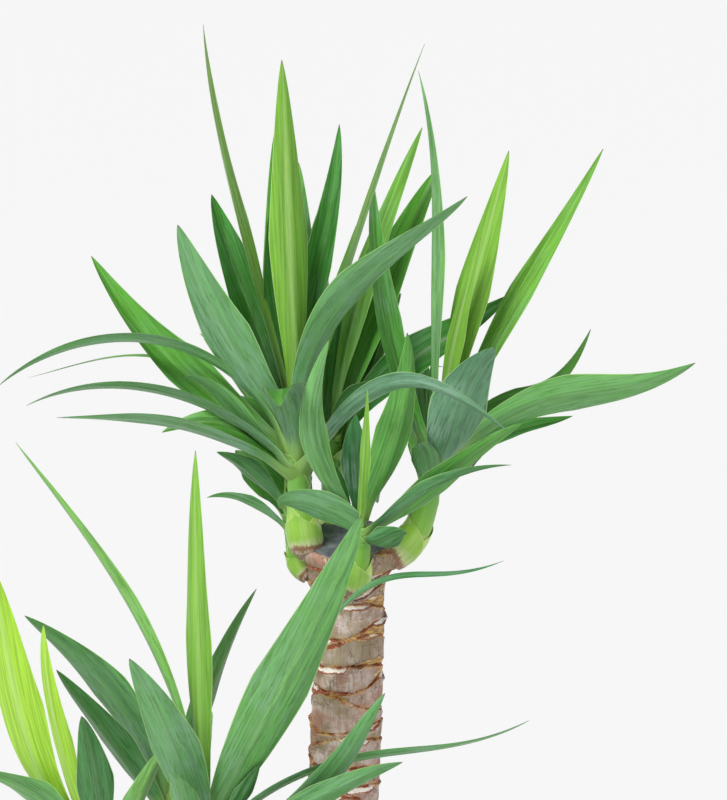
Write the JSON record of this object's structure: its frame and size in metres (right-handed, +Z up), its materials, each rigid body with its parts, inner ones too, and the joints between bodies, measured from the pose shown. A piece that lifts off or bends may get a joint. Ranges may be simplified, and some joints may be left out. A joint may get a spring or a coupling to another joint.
{
  "type": "potted yucca",
  "caption": "Indoor yucca in a plain round pot: a tall and a short woody cane, each topped by crowns of long sword-shaped leaves.",
  "frame": {"origin": "middle of the pot's flat underside, which the plant stands on", "axes": "+Z up along the canes, +X to the right and +Y away from the viewer, as the picture shows the plant"},
  "size_m": [0.6449, 0.5089, 1.17],
  "materials": {
    "pot_plastic": "matt, dark grey nursery pot",
    "compost": "rough, dark and crumbly",
    "bark": "dry, striated, with ledges of leaf scars",
    "seal": "dull slate-grey wax",
    "sheath": "smooth, satin",
    "blade": "satin, finely ribbed lengthwise"
  },
  "bodies": {
    "root": {"pot": "pot_plastic", "soil": "compost", "tall_cane": "bark", "short_cane": "bark", "tall_wax": "seal", "short_wax": "seal", "tall_left_shoot": "sheath", "tall_small_shoot": "sheath", "tall_front_shoot": "sheath", "tall_right_shoot": "sheath", "tall_back_shoot": "sheath", "short_left_shoot": "sheath", "short_right_shoot": "sheath", "short_back_shoot": "sheath", "tall_left_leaves": "blade", "tall_small_leaves": "blade", "tall_front_leaves": "blade", "tall_right_leaves": "blade", "tall_back_leaves": "blade", "short_left_leaves": "blade", "short_right_leaves": "blade", "short_back_leaves": "blade"}
  },
  "joints": []
}
